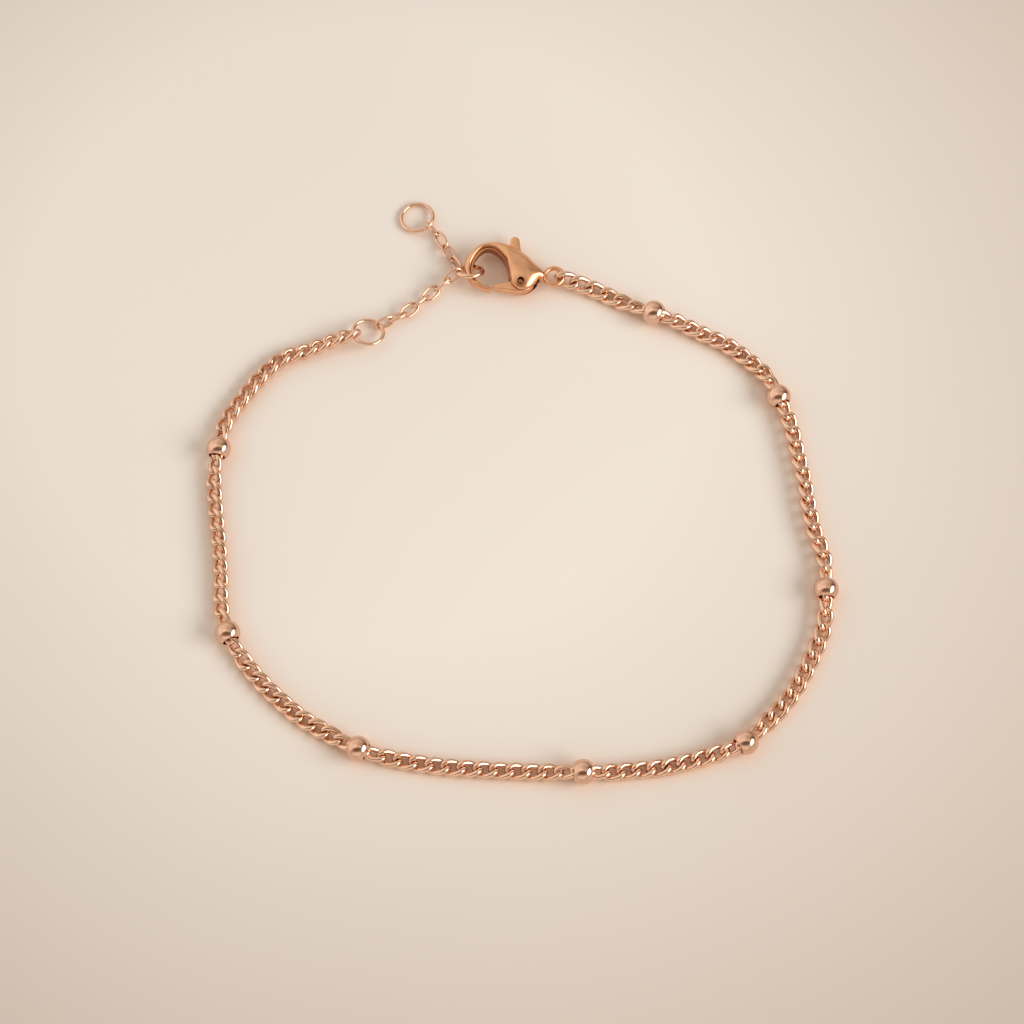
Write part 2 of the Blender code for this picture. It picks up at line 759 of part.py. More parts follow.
def add_clasp():
    ribs = [
        rib_points(Vector((ox, oy, 0)), Vector((ix, iy, 0)), thick)
        for ox, oy, ix, iy, thick in CLASP_RIBS
    ]
    body_mesh = loft("clasp_body", ribs)
    body_mesh.transform(clasp_matrix())
    smooth(body_mesh)
    body = add_part("clasp_body", body_mesh, CLASP_METAL)

    bpy.ops.mesh.primitive_torus_add(
        major_radius=(EYELET_HOLE + EYELET_WIRE) / 2,
        minor_radius=EYELET_WIRE / 2,
        major_segments=16,
        minor_segments=8,
    )
    made = bpy.context.object
    eyelet_mesh = made.data
    bpy.data.objects.remove(made)
    eyelet_mesh.transform(Matrix.Diagonal((1, 1, EYELET_DEPTH / EYELET_WIRE, 1)))
    eyelet_mesh.transform(clasp_matrix() @ Matrix.Translation((*EYELET_PLACE, 0)))
    add_boolean(body, add_cutter("eyelet", eyelet_mesh), "UNION")

    slot_mesh = plate_mesh("lever_slot", slot_outline(), [], LEVER_THICKNESS + 2 * SLOT_CLEARANCE)
    slot_mesh.transform(clasp_matrix())
    add_boolean(body, add_cutter("lever_slot", slot_mesh), "DIFFERENCE")

    hole_mesh = cylinder_mesh("pin_hole", PIN_RADIUS + PIN_CLEARANCE, CLASP_MIDDLE_HEIGHT * 3)
    hole_mesh.transform(clasp_matrix())
    add_boolean(body, add_cutter("pin_hole", hole_mesh), "DIFFERENCE")

    hole = circle_points((0, 0), PIN_RADIUS + PIN_CLEARANCE, 12)
    lever_mesh = plate_mesh("clasp_lever", lever_outline(), [hole], LEVER_THICKNESS)
    add_part("clasp_lever", lever_mesh, CLASP_METAL, clasp_matrix())

    pin_length = 2 * (CLASP_MIDDLE_HEIGHT - PIN_RECESS)
    pin_mesh = cylinder_mesh("clasp_pin", PIN_RADIUS, pin_length)
    add_part("clasp_pin", pin_mesh, CLASP_METAL, clasp_matrix())


def cylinder_mesh(name, radius, length):
    work = bmesh.new()
    bmesh.ops.create_cone(work, cap_ends=True, segments=12, radius1=radius, radius2=radius, depth=length)
    mesh = bpy.data.meshes.new(name)
    work.to_mesh(mesh)
    work.free()
    return mesh


def add_curb_chain():
    links, bead_places = curb_stations()
    add_beads(bead_places)
    section = section_curve(CURB_WIRE / 2, CURB_SIDES)
    in_beads = [i for i, link in enumerate(links) if link["to_bead"] < 1e-6]
    middle = len(in_beads) // 2
    split = (in_beads[middle - 1] + in_beads[middle]) // 2
    curb_chain("curb_chain_a", links, range(0, split + 1), section)
    curb_chain("curb_chain_b", links, range(split + 1, len(links)), section)


clear_scene()
PARTS = make_collection("satellite_chain_bracelet")
CUTTERS = make_collection("cutters_and_guides")
CHAIN_METAL = metal("chain_metal", CHAIN_COLOUR, 0.22)
BEAD_METAL = metal("bead_metal", CHAIN_COLOUR, 0.18)
WIRE_METAL = metal("wire_metal", WIRE_COLOUR, 0.2)
CLASP_METAL = metal("clasp_metal", CLASP_COLOUR, 0.32)
add_clasp()
add_extender()
add_curb_chain()
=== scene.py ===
# Looks of the satellite chain bracelet: fine wire, turned beads, a cast clasp, metals and light.
# Metres, +Z up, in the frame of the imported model. Camera at the photograph's viewing angle.
import math

import bmesh
import bpy
from mathutils import Matrix, Vector


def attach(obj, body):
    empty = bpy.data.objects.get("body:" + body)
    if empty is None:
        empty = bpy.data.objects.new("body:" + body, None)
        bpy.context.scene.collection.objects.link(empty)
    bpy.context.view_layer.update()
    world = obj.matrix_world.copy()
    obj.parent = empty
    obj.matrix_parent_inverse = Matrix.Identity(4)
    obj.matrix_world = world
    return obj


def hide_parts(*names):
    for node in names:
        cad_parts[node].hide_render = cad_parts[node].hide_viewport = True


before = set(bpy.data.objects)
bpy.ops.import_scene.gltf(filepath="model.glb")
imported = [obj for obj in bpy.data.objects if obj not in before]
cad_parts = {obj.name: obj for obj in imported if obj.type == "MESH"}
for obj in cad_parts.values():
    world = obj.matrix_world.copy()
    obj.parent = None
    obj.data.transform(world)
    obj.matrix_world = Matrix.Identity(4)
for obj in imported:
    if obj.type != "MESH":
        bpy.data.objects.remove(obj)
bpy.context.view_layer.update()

# Curb chain
CURB_PITCH = 0.00152
CURB_WIDTH = 0.00185
CURB_WIRE = 0.00056
CURB_TWIST = math.radians(-50)
CURB_SQUARENESS = 2.6
CURB_GRIP = 0.00002
CURB_SIDES = 12
CURB_STEPS = 36
SHOULDER_WIDTH = 0.0015
BEAD_LINK_WIDTH = 0.00145

# Satellite beads
BEAD_DIAMETER = 0.0025
BEAD_BORE = 0.0016
BEAD_LENGTH = 0.0018
BEAD_STEPS = 64
BEAD_PROFILE_STEPS = 20
BEAD_DROP = 0.00004
BEAD_LIP_REACH = 1.01
BEAD_BORE_REACH = 0.96

# Clasp, in its own plan with the lever's pivot at the origin
CLASP_PIVOT = (0.00015, 0.02167)
CLASP_MIDDLE_HEIGHT = 0.00125
CLASP_SECTION_SIDES = 48
CLASP_RIB_STEPS = 5
CLASP_RIM_WIDTH = 0.00016
CLASP_RIM_GROOVE = 0.00005
CLASP_RIM_RISE = 0.6
CLASP_DOME_POWER = 0.88
CLASP_RIB_SPACING = 0.0005
HOOK_CENTRE = Vector((-0.0033, 0.0018, 0))
HOOK_SHADE_REACH = 0.0036
EYELET_PLACE = (0.00342, 0.00093)
EYELET_WIRE = 0.00048
EYELET_DEPTH = 0.0005
EYELET_HOLE = 0.0014
LEVER_THICKNESS = 0.0009
LEVER_BEVEL = 0.0002
LEVER_HEEL_STEPS = 6
LEVER_BOSS_RADIUS = 0.00072
LEVER_ROOT_REACH = 0.0009
LEVER_TRAVEL = math.radians(22)
GATE_TIP = (-0.00288, -0.00043)
GATE_TIP_WIDTH = 0.00046
GATE_ROOT_WIDTH = 0.0008
TAB_TOP = (-0.00066, 0.00535)
TAB_WIDTH = 0.00098
SLOT_CLEARANCE = 0.00006
SLOT_GATE_SHARE = 0.75
SLOT_SHOULDER = (0.0019, 0.00062)
PIN_RADIUS = 0.00028
PIN_CLEARANCE = 0.00005
PIN_RECESS = 0.0003
PIN_STEPS = 40
PIN_FACE_SHARE = 0.4
PIN_EDGE_SHARE = 0.25
PIN_EDGE_DROP = 0.15
PIN_HOLE_REACH = 1.5
PIN_HOLE_TOLERANCE = 1.02
TAB_STEPS = 28
CAST_EDGE = math.radians(30)
CUT_EDGE = math.radians(40)

# Rings of round wire
RING_STEPS = 96
RING_SIDES = 20
CHAIN_RING_DIAMETER = 0.0035
CHAIN_RING_WIRE = 0.00038
CHAIN_RING_CENTRE = (-0.01544, 0.01643, 0.00093)
CHAIN_RING_SLOPE = math.radians(15)
CHAIN_RING_SLOPE_AXIS = math.radians(155)
HOOK_RING_DIAMETER = 0.0032
HOOK_RING_WIRE = 0.0005
HOOK_RING_PLACE = (-0.00528, 0.00152)
HOOK_RING_SLOPE = math.radians(42)
HOOK_RING_SLOPE_AXIS = math.radians(180)
END_RING_DIAMETER = 0.0037
END_RING_WIRE = 0.00038
END_RING_CENTRE = (-0.01062, 0.02984, 0.00042)
END_RING_SLOPE = math.radians(7)
END_RING_SLOPE_AXIS = math.radians(-129)

# Cable links of the extender
CABLE_LENGTH = 0.00225
CABLE_WIDTH = 0.0014
CABLE_WIRE = 0.0003
CABLE_HEIGHT = 0.0007
CABLE_SIDES = 14
CABLE_STEPS = 44
CABLE_SQUARENESS = 2.2
CABLE_AIM_SHARE = 0.8

# All links
LINK_CLEARANCE = 0.00008
CLIMB_LENGTH = 0.0021
ROUTE_STEPS = 24
FLOOR_CLEARANCE = 0.00001

# Distances below which two places count as one
TOUCH = 1e-6
PLATE_MERGE = 1e-7

# Route of the curb chain over the surface, from the clasp's eyelet clockwise to the chain ring.
# Each row holds x, y, the roll of the chain in degrees, and whether a satellite bead sits there.
CURB_ROUTE = [
    (0.0058, 0.02195, 30, False),
    (0.0081, 0.02115, 10, False),
    (0.0111, 0.01965, -10, False),
    (0.01375, 0.0185, -20, True),
    (0.0167, 0.0174, -20, False),
    (0.0184, 0.01645, -15, False),
    (0.0212, 0.01505, -10, False),
    (0.0232, 0.01345, -10, False),
    (0.0250, 0.0116, -15, False),
    (0.0262, 0.0091, -20, True),
    (0.0273, 0.0062, -30, False),
    (0.0279, 0.00315, -35, False),
    (0.0285, 0.0001, -40, False),
    (0.02885, -0.0028, -35, False),
    (0.02935, -0.0055, -30, False),
    (0.0301, -0.0081, -30, False),
    (0.0302, -0.0117, -30, True),
    (0.02975, -0.01575, -25, False),
    (0.02865, -0.0185, -20, False),
    (0.0273, -0.0211, -20, False),
    (0.0256, -0.0236, -15, False),
    (0.0235, -0.0258, -15, False),
    (0.02185, -0.02745, -15, True),
    (0.0185, -0.02865, -10, False),
    (0.0159, -0.0294, -5, False),
    (0.0135, -0.0299, -5, False),
    (0.0110, -0.03015, 0, False),
    (0.0083, -0.0304, 0, False),
    (0.0061, -0.03045, 0, True),
    (0.0021, -0.03035, 5, False),
    (-0.00085, -0.03025, 5, False),
    (-0.0050, -0.0300, 5, False),
    (-0.0078, -0.02975, 0, False),
    (-0.0107, -0.0293, 0, False),
    (-0.0133, -0.0288, -5, False),
    (-0.0156, -0.0281, -10, True),
    (-0.01905, -0.0262, -15, False),
    (-0.0212, -0.02485, -15, False),
    (-0.0233, -0.0231, -20, False),
    (-0.02525, -0.02115, -25, False),
    (-0.02705, -0.0189, -30, False),
    (-0.0286, -0.01625, -35, True),
    (-0.0294, -0.0133, -45, False),
    (-0.02955, -0.0100, -50, False),
    (-0.02985, -0.0069, -50, False),
    (-0.03025, -0.0036, -45, False),
    (-0.03055, -0.0005, -40, False),
    (-0.03055, 0.0012, -35, False),
    (-0.0302, 0.0034, -30, True),
    (-0.02965, 0.00645, -25, False),
    (-0.0280, 0.00915, -20, False),
    (-0.0261, 0.0117, -15, False),
    (-0.0239, 0.01365, -15, False),
    (-0.0216, 0.01445, -20, False),
    (-0.01965, 0.0152, -30, False),
    (-0.0177, 0.0159, -40, False),
]

# Roll of each cable link in degrees, from the chain ring to the hook ring, and on to the end ring.
EXTENDER_ROLLS = [62, -45, 20, 110, 10, 118, 52]
TAIL_ROLLS = [112, 22, -50, 64]

# Where the extender and the tail meet their rings: the ring's own angle in degrees.
CHAIN_RING_CURB_ANGLE = math.radians(196)
CHAIN_RING_EXTENDER_ANGLE = math.radians(42)
HOOK_RING_EXTENDER_ANGLE = math.radians(195)
HOOK_RING_TAIL_ANGLE = math.radians(140)
END_RING_TAIL_ANGLE = math.radians(-39)

# Places that the extender and its tail pass between their rings, x and y.
EXTENDER_ROUTE = [(-0.0115, 0.0189), (-0.0088, 0.0212)]
TAIL_ROUTE = [(-0.00744, 0.0258), (-0.0083, 0.0274)]

# Ribs of the clasp's body from the neck round to the hook's tip, in the clasp's own plan.
# Each row holds outer x, outer y, inner x, inner y and the half thickness there.
CLASP_RIBS = [
    (0.00230, 0.00160, 0.00230, 0.00050, 0.00048),
    (0.00205, 0.00178, 0.00205, 0.00048, 0.00068),
    (0.00135, 0.00244, 0.00135, -0.00030, 0.00103),
    (0.00080, 0.00305, 0.00080, -0.00068, 0.00122),
    (0.00028, 0.00350, 0.00028, -0.00082, 0.00130),
    (-0.00025, 0.00385, -0.00030, -0.00074, 0.00132),
    (-0.00080, 0.00418, -0.00090, -0.00015, 0.00130),
    (-0.00125, 0.00445, -0.00126, 0.00095, 0.00124),
    (-0.00167, 0.00457, -0.00146, 0.00200, 0.00115),
    (-0.00232, 0.00467, -0.00191, 0.00292, 0.00105),
    (-0.00296, 0.00469, -0.00255, 0.00358, 0.00096),
    (-0.00350, 0.00459, -0.00317, 0.00385, 0.00090),
    (-0.00413, 0.00441, -0.00372, 0.00378, 0.00085),
    (-0.00471, 0.00402, -0.00418, 0.00342, 0.00079),
    (-0.00523, 0.00346, -0.00458, 0.00288, 0.00072),
    (-0.00562, 0.00282, -0.00485, 0.00230, 0.00063),
    (-0.00580, 0.00206, -0.00493, 0.00175, 0.00058),
    (-0.00575, 0.00130, -0.00490, 0.00120, 0.00056),
    (-0.00548, 0.00058, -0.00475, 0.00075, 0.00054),
    (-0.00507, 0.00008, -0.00455, 0.00043, 0.00050),
    (-0.00456, -0.00035, -0.00418, 0.00012, 0.00047),
    (-0.00388, -0.00072, -0.00366, -0.00014, 0.00045),
    (-0.00304, -0.00094, -0.00302, -0.00040, 0.00043),
]

# The raised rim on the body's inner edge: share across it, and how far below its top in grooves
CLASP_RIM_SHAPE = [
    (0.1, 0.2),
    (0.25, 0.0),
    (0.8, 0.0),
    (1.0, 0.8),
]

# Lower edge of the lever from under its gate round to its heel, in the clasp's own plan
LEVER_HEEL = [
    (-0.0018, -0.00072),
    (-0.0010, -0.00088),
    (-0.0002, -0.00096),
    (0.00045, -0.00088),
    (0.00098, -0.00060),
    (0.00132, -0.00016),
    (0.00124, 0.00026),
]

# Shares of the painted shade in the hollows, where 1 is all dark
RING_SHADE = 0.15
CURB_SHADE = 0.15
CURB_CROWN_SHADE = 0.6
CABLE_SHADE = 0.1
CABLE_CROWN_SHADE = 0.6
BEAD_SHADE = 0.6
HOOK_SHADE = 0.7
SLOT_SHADE = 0.9
PIN_SHADE = 0.8

# Metals
ROSE = (0.88, 0.60, 0.46, 1)
ROSE_WARM = (0.90, 0.61, 0.43, 1)
ROSE_BEAD = (0.81, 0.51, 0.37, 1)
ROSE_DARK = (0.40, 0.19, 0.11, 1)
COPPER = (0.87, 0.47, 0.27, 1)
COPPER_WARM = (0.91, 0.52, 0.29, 1)
COPPER_DARK = (0.28, 0.105, 0.045, 1)
NOISE_LOW = 0.3
NOISE_HIGH = 0.7
TONE_SCALE = 260
TARNISH_SCALE = 900
TARNISH_SHARE = 0.25
SMUDGE_SCALE = 1400
DENT_SCALE = 2600
GRAIN_SCALE = 16000
GRAIN_SHARE = 0.15
MARK_DEPTH = 0.00002

# Floor
FLOOR_SIZE = 3
FLOOR_ONE = (0.80, 0.775, 0.745, 1)
FLOOR_OTHER = (0.84, 0.815, 0.785, 1)
FLOOR_FAR_PAINTED_SHADE = (0.54, 0.475, 0.42, 1)
FLOOR_TONE_SCALE = 9
FLOOR_ROUGHNESS = 0.9
# A painted pool of light round this point, fading to painted shade between these distances
FLOOR_PAINTED_LIGHT_CENTRE = (-0.016, 0.018, 0)
FLOOR_FALL_START = 0.035
FLOOR_FALL_END = 0.095
# Painted copper bounce light and shade on the floor close to the metal
FLOOR_PAINTED_BOUNCE = (1.0, 0.70, 0.50, 1)
FLOOR_PAINTED_BOUNCE_REACH = 0.003

# Light
WINDOW_PLACE = (0.49, -0.15, 0.33)
WINDOW_SIZE = (0.60, 0.30)
WINDOW_POWER = 2.95
WINDOW_COLOUR = (1.0, 0.98, 0.95)
ROOM_DARK = (0.22, 0.15, 0.10, 1)
ROOM_BRIGHT = (1.15, 1.05, 0.94, 1)
ROOM_BRIGHT_WAY = (-0.6, -0.25, 0.25)
ROOM_PATCH_SCALE = 1.7
ROOM_PATCH_LOW = -0.25
ROOM_PATCH_HIGH = 0.45
ROOM_FADE = 0.6

# A dark oval patch of the room overhead, which the metal mirrors
OVAL_SHIFT = (0.08, 0.47, 0)
OVAL_SQUEEZE = (1.3, 3.2, 0)
OVAL_EDGE_START = 0.65
OVAL_EDGE_END = 1.35

# The photograph's view
CAMERA_TARGET = Vector((-0.00075, -0.003, 0))
CAMERA_ELEVATION = math.radians(68)
CAMERA_DISTANCE = 0.3
CAMERA_FIELD = 2 * math.atan(512 / 3000)


# Materials
def add_node(tree, kind, inputs=None, **settings):
    """A node with its settings and inputs; an input is a value or the socket it comes from."""
    node = tree.nodes.new(kind)
    for name, value in settings.items():
        setattr(node, name, value)
    for name, value in (inputs or {}).items():
        if isinstance(value, bpy.types.NodeSocket):
            tree.links.new(value, node.inputs[name])
        else:
            node.inputs[name].default_value = value
    return node


def object_noise(tree, place, scale, detail=3.0, roughness=0.55):
    """Noise at the place that a coordinate socket gives."""
    return add_node(
        tree,
        "ShaderNodeTexNoise",
        {"Vector": place, "Scale": scale, "Detail": detail, "Roughness": roughness},
    ).outputs["Fac"]


def spread(tree, value, low, high):
    """Turns a noise value into one between low and high."""
    return add_node(
        tree,
        "ShaderNodeMapRange",
        {0: value, 1: NOISE_LOW, 2: NOISE_HIGH, 3: low, 4: high},
    ).outputs["Result"]


def ramp(tree, value, start, end):
    """0 where a value is below start and 1 where it is above end, even between them."""
    return add_node(tree, "ShaderNodeMapRange", {0: value, 1: start, 2: end}).outputs["Result"]


def vector_math(tree, operation, *values, output="Vector"):
    """One step of vector arithmetic. output is Value where the result is a number."""
    inputs = dict(enumerate(values))
    return add_node(tree, "ShaderNodeVectorMath", inputs, operation=operation).outputs[output]


def mix_colours(tree, share, one, other):
    """Colour between one and the other, which may be sockets or plain colours."""
    node = add_node(tree, "ShaderNodeMix", data_type="RGBA")
    for socket, value in zip((node.inputs[0], node.inputs[6], node.inputs[7]), (share, one, other)):
        if isinstance(value, bpy.types.NodeSocket):
            tree.links.new(value, socket)
        else:
            socket.default_value = value
    return node.outputs[2]


def plated_metal(name, colour, warm, dark, gloss, brushed):
    """Plated metal: tone drifts between colour and warm, random tarnish and the painted shade in
    crevices take the dark tone, and gloss is uneven.

    gloss holds the lowest and highest roughness, and brushed the depth of the fine surface marks.
    """
    material = bpy.data.materials.new(name)
    material.use_nodes = True
    tree = material.node_tree
    shader = tree.nodes["Principled BSDF"]
    place = add_node(tree, "ShaderNodeTexCoord").outputs["Object"]
    # Attribute of painted shade, darkest in hollows, bores and recesses
    painted_shade = add_node(tree, "ShaderNodeAttribute", attribute_name="painted_shade").outputs["Fac"]
    tone = spread(tree, object_noise(tree, place, TONE_SCALE), 0, 1)
    tarnish = spread(tree, object_noise(tree, place, TARNISH_SCALE, 4), 0, TARNISH_SHARE)
    plating = mix_colours(tree, tone, colour, warm)
    worn = mix_colours(tree, tarnish, plating, dark)
    # Painted shade: the metal darkens towards the dark tone by that attribute
    shaded = mix_colours(tree, painted_shade, worn, dark)
    tree.links.new(shaded, shader.inputs["Base Color"])
    shader.inputs["Metallic"].default_value = 1.0
    smudges = object_noise(tree, place, SMUDGE_SCALE, 5, 0.6)
    tree.links.new(spread(tree, smudges, *gloss), shader.inputs["Roughness"])
    grain = object_noise(tree, place, GRAIN_SCALE, 3, 0.6)
    dents = object_noise(tree, place, DENT_SCALE, 2, 0.5)
    height = add_node(
        tree,
        "ShaderNodeMath",
        {0: grain, 1: GRAIN_SHARE, 2: dents},
        operation="MULTIPLY_ADD",
    ).outputs[0]
    bump = add_node(
        tree,
        "ShaderNodeBump",
        {"Height": height, "Strength": brushed, "Distance": MARK_DEPTH},
    )
    tree.links.new(bump.outputs["Normal"], shader.inputs["Normal"])
    return material


def floor_cloth():
    """Pale matt floor with a painted pool of light under the extender and painted shade towards the far
    corners.
    """
    material = bpy.data.materials.new("pale_floor")
    material.use_nodes = True
    tree = material.node_tree
    shader = tree.nodes["Principled BSDF"]
    place = add_node(tree, "ShaderNodeTexCoord").outputs["Object"]
    tone = spread(tree, object_noise(tree, place, FLOOR_TONE_SCALE, 2), 0, 1)
    colour = mix_colours(tree, tone, FLOOR_ONE, FLOOR_OTHER)
    # Painted light: the floor's colour darkens away from a bright spot under the extender
    from_bright = vector_math(tree, "DISTANCE", place, FLOOR_PAINTED_LIGHT_CENTRE, output="Value")
    fall = ramp(tree, from_bright, FLOOR_FALL_START, FLOOR_FALL_END)
    toned = mix_colours(tree, fall, colour, FLOOR_FAR_PAINTED_SHADE)
    # Close to the metal the floor gets a painted copper bounce light and painted shade, by ambient
    # occlusion.
    openness = add_node(
        tree,
        "ShaderNodeAmbientOcclusion",
        {"Distance": FLOOR_PAINTED_BOUNCE_REACH},
        samples=3,
    ).outputs["AO"]
    warmed = mix_colours(tree, openness, FLOOR_PAINTED_BOUNCE, toned)
    tree.links.new(warmed, shader.inputs["Base Color"])
    shader.inputs["Roughness"].default_value = FLOOR_ROUGHNESS
    return material


# Meshes
def plain_mesh(name, points, faces):
    mesh = bpy.data.meshes.new(name)
    mesh.from_pydata(points, [], faces)
    return mesh


def set_painted_shade(mesh, painted_shade_shares):
    """Keeps how much painted shade each point takes in the dark tone, which the metals read."""
    layer = mesh.attributes.new("painted_shade", "FLOAT", "POINT")
    layer.data.foreach_set("value", painted_shade_shares)


def smooth_mesh(name, points, faces, painted_shade_shares):
    mesh = plain_mesh(name, points, faces)
    set_painted_shade(mesh, painted_shade_shares)
    mesh.shade_smooth()
    return mesh


def mend_mesh(mesh, merge=0.0):
    """Joins points that lie closer than merge, and turns all the faces outwards."""
    work = bmesh.new()
    work.from_mesh(mesh)
    if merge:
        bmesh.ops.remove_doubles(work, verts=work.verts, dist=merge)
    bmesh.ops.recalc_face_normals(work, faces=work.faces)
    work.to_mesh(mesh)
    work.free()


def put_object(name, data):
    obj = bpy.data.objects.new(name, data)
    bpy.context.scene.collection.objects.link(obj)
    return obj


def add_piece(name, mesh, material, matrix, node, body="bracelet"):
    """Puts a visible piece on a body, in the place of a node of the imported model."""
    obj = put_object(name, mesh)
    mesh.materials.clear()
    mesh.materials.append(material)
    obj.matrix_world = matrix
    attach(obj, body)
    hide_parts(node)


def grid_faces(rows, sides, start=0, closed=True):
    """Quads between neighbouring rows of points, each row a closed loop of that many sides."""
    faces = []
    for i in range(rows if closed else rows - 1):
        one = start + i * sides
        other = start + (i + 1) % rows * sides
        for k in range(sides):
            after = (k + 1) % sides
            faces.append((one + k, one + after, other + after, other + k))
    return faces


def end_faces(count, sides):
    """The two faces that close a stack of rows, which has count points in all."""
    return [tuple(range(sides - 1, -1, -1)), tuple(range(count - sides, count))]


def circle_centres(diameter, wire):
    """Centreline of a flat ring of wire round the origin, from its outer diameter."""
    radius = (diameter - wire) / 2
    centres = []
    for k in range(RING_STEPS):
        angle = 2 * math.pi * k / RING_STEPS
        centres.append(Vector((radius * math.cos(angle), radius * math.sin(angle), 0)))
    return centres


def wire_loop(centres, radius, sides):
    """Round wire along a closed loop round the origin: points, and how far each faces inwards."""
    points = []
    inward = []
    count = len(centres)
    for i, centre in enumerate(centres):
        way = (centres[(i + 1) % count] - centres[i - 1]).normalized()
        out = (centre - way * centre.dot(way)).normalized()
        aside = way.cross(out)
        for k in range(sides):
            angle = 2 * math.pi * k / sides
            points.append(centre + (out * math.cos(angle) + aside * math.sin(angle)) * radius)
            inward.append(max(-math.cos(angle), 0.0))
    return points, inward


def oval_points(half_back, half_ahead, half_width, twist, squareness, steps):
    """Centreline of a link along X: an oval whose plane turns with X, by the twist at its crowns."""
    points = []
    for k in range(steps):
        angle = 2 * math.pi * (k + 0.5) / steps
        along = math.copysign(abs(math.cos(angle)) ** (2 / squareness), math.cos(angle))
        aside = math.copysign(abs(math.sin(angle)) ** (2 / squareness), math.sin(angle))
        x = along * (half_ahead if along > 0 else half_back)
        lean = twist * along
        out = half_width * aside
        points.append(Vector((x, out * math.cos(lean), out * math.sin(lean))))
    return points


# Routes
def smooth_route(points, steps=ROUTE_STEPS):
    """Points of a smooth curve through the given ones, which are vectors of any length."""
    first = points[0] * 2 - points[1]
    last = points[-1] * 2 - points[-2]
    padded = [first, *points, last]
    route = []
    for i in range(1, len(padded) - 2):
        before, start, end, after = padded[i - 1 : i + 3]
        knots = [0.0]
        for one, other in ((before, start), (start, end), (end, after)):
            knots.append(knots[-1] + math.sqrt((other - one).length))
        for k in range(steps):
            route.append(centripetal(before, start, end, after, knots, k / steps))
    route.append(points[-1].copy())
    return route


def centripetal(before, start, end, after, knots, share):
    """A point of the curve between start and end, at a share of the way."""
    at = knots[1] + (knots[2] - knots[1]) * share

    def between(one, other, low, high):
        return one * ((high - at) / (high - low)) + other * ((at - low) / (high - low))

    a = between(before, start, knots[0], knots[1])
    b = between(start, end, knots[1], knots[2])
    c = between(end, after, knots[2], knots[3])
    d = between(a, b, knots[0], knots[2])
    e = between(b, c, knots[1], knots[3])
    return between(d, e, knots[1], knots[2])


class Route:
    """A curve that is read by the distance along it."""

    def __init__(self, points):
        self.points = smooth_route(points)
        self.runs = [0.0]
        for one, other in zip(self.points, self.points[1:]):
            self.runs.append(self.runs[-1] + (other - one).length)
        self.length = self.runs[-1]

    def at(self, distance):
        distance = min(max(distance, 0.0), self.length)
        i = 0
        while i < len(self.runs) - 2 and self.runs[i + 1] < distance:
            i += 1
        share = (distance - self.runs[i]) / (self.runs[i + 1] - self.runs[i])
        return self.points[i].lerp(self.points[i + 1], share)

    def direction(self, distance, reach):
        low = max(distance - reach, 0.0)
        high = min(distance + reach, self.length)
        return (self.at(high) - self.at(low)).normalized()

    def nearest(self, place):
        index = min(range(len(self.points)), key=lambda i: (self.points[i] - place).length)
        return self.runs[index]


def link_matrix(place, direction, roll):
    """Stands a link that lies along X at its place, along the direction, rolled about it."""
    aside = Vector((0, 0, 1)).cross(direction).normalized()
    up = direction.cross(aside)
    turned = Matrix((direction, aside, up)).transposed().to_4x4()
    return Matrix.Translation(place) @ turned @ Matrix.Rotation(roll, 4, "X")


# Rings
def ring_matrix(centre, slope, slope_axis):
    """A ring leans by the slope about the level line that slope_axis points along."""
    axis = Vector((math.cos(slope_axis), math.sin(slope_axis), 0))
    return Matrix.Translation(centre) @ Matrix.Rotation(slope, 4, axis)


def ring_point(centre, diameter, wire, slope, slope_axis, angle):
    """Centre of a ring's wire at an angle seen from above."""
    radius = (diameter - wire) / 2
    flat = Vector((radius * math.cos(angle), radius * math.sin(angle), 0))
    return ring_matrix(centre, slope, slope_axis) @ flat


def wire_ring(name, centre, diameter, wire, slope, slope_axis):
    points, inward = wire_loop(circle_centres(diameter, wire), wire / 2, RING_SIDES)
    # Painted shade on the inner side of the ring's wire
    painted_shade_shares = [share * RING_SHADE for share in inward]
    mesh = smooth_mesh(name, points, grid_faces(RING_STEPS, RING_SIDES), painted_shade_shares)
    matrix = ring_matrix(centre, slope, slope_axis)
    add_piece(f"{name}_wire", mesh, WIRE_METAL, matrix, name)


# Curb chain
def link_half_height(roll):
    """How far a rolled curb link reaches below its axis."""
    half_width = (CURB_WIDTH - CURB_WIRE) / 2
    points = oval_points(1, 1, half_width, CURB_TWIST, CURB_SQUARENESS, 2 * CURB_STEPS)
    heights = [y * math.sin(roll) + z * math.cos(roll) for _, y, z in points]
    return CURB_WIRE / 2 - min(heights)


def curb_ends():
    """Where the chain's two ends hold on: the eyelet's centre and the chain ring's wire."""
    eyelet = Vector((*CLASP_PIVOT, CLASP_MIDDLE_HEIGHT)) + Vector((*EYELET_PLACE, 0))
    ring = ring_point(
        CHAIN_RING_CENTRE,
        CHAIN_RING_DIAMETER,
        CHAIN_RING_WIRE,
        CHAIN_RING_SLOPE,
        CHAIN_RING_SLOPE_AXIS,
        CHAIN_RING_CURB_ANGLE,
    )
    return eyelet, ring


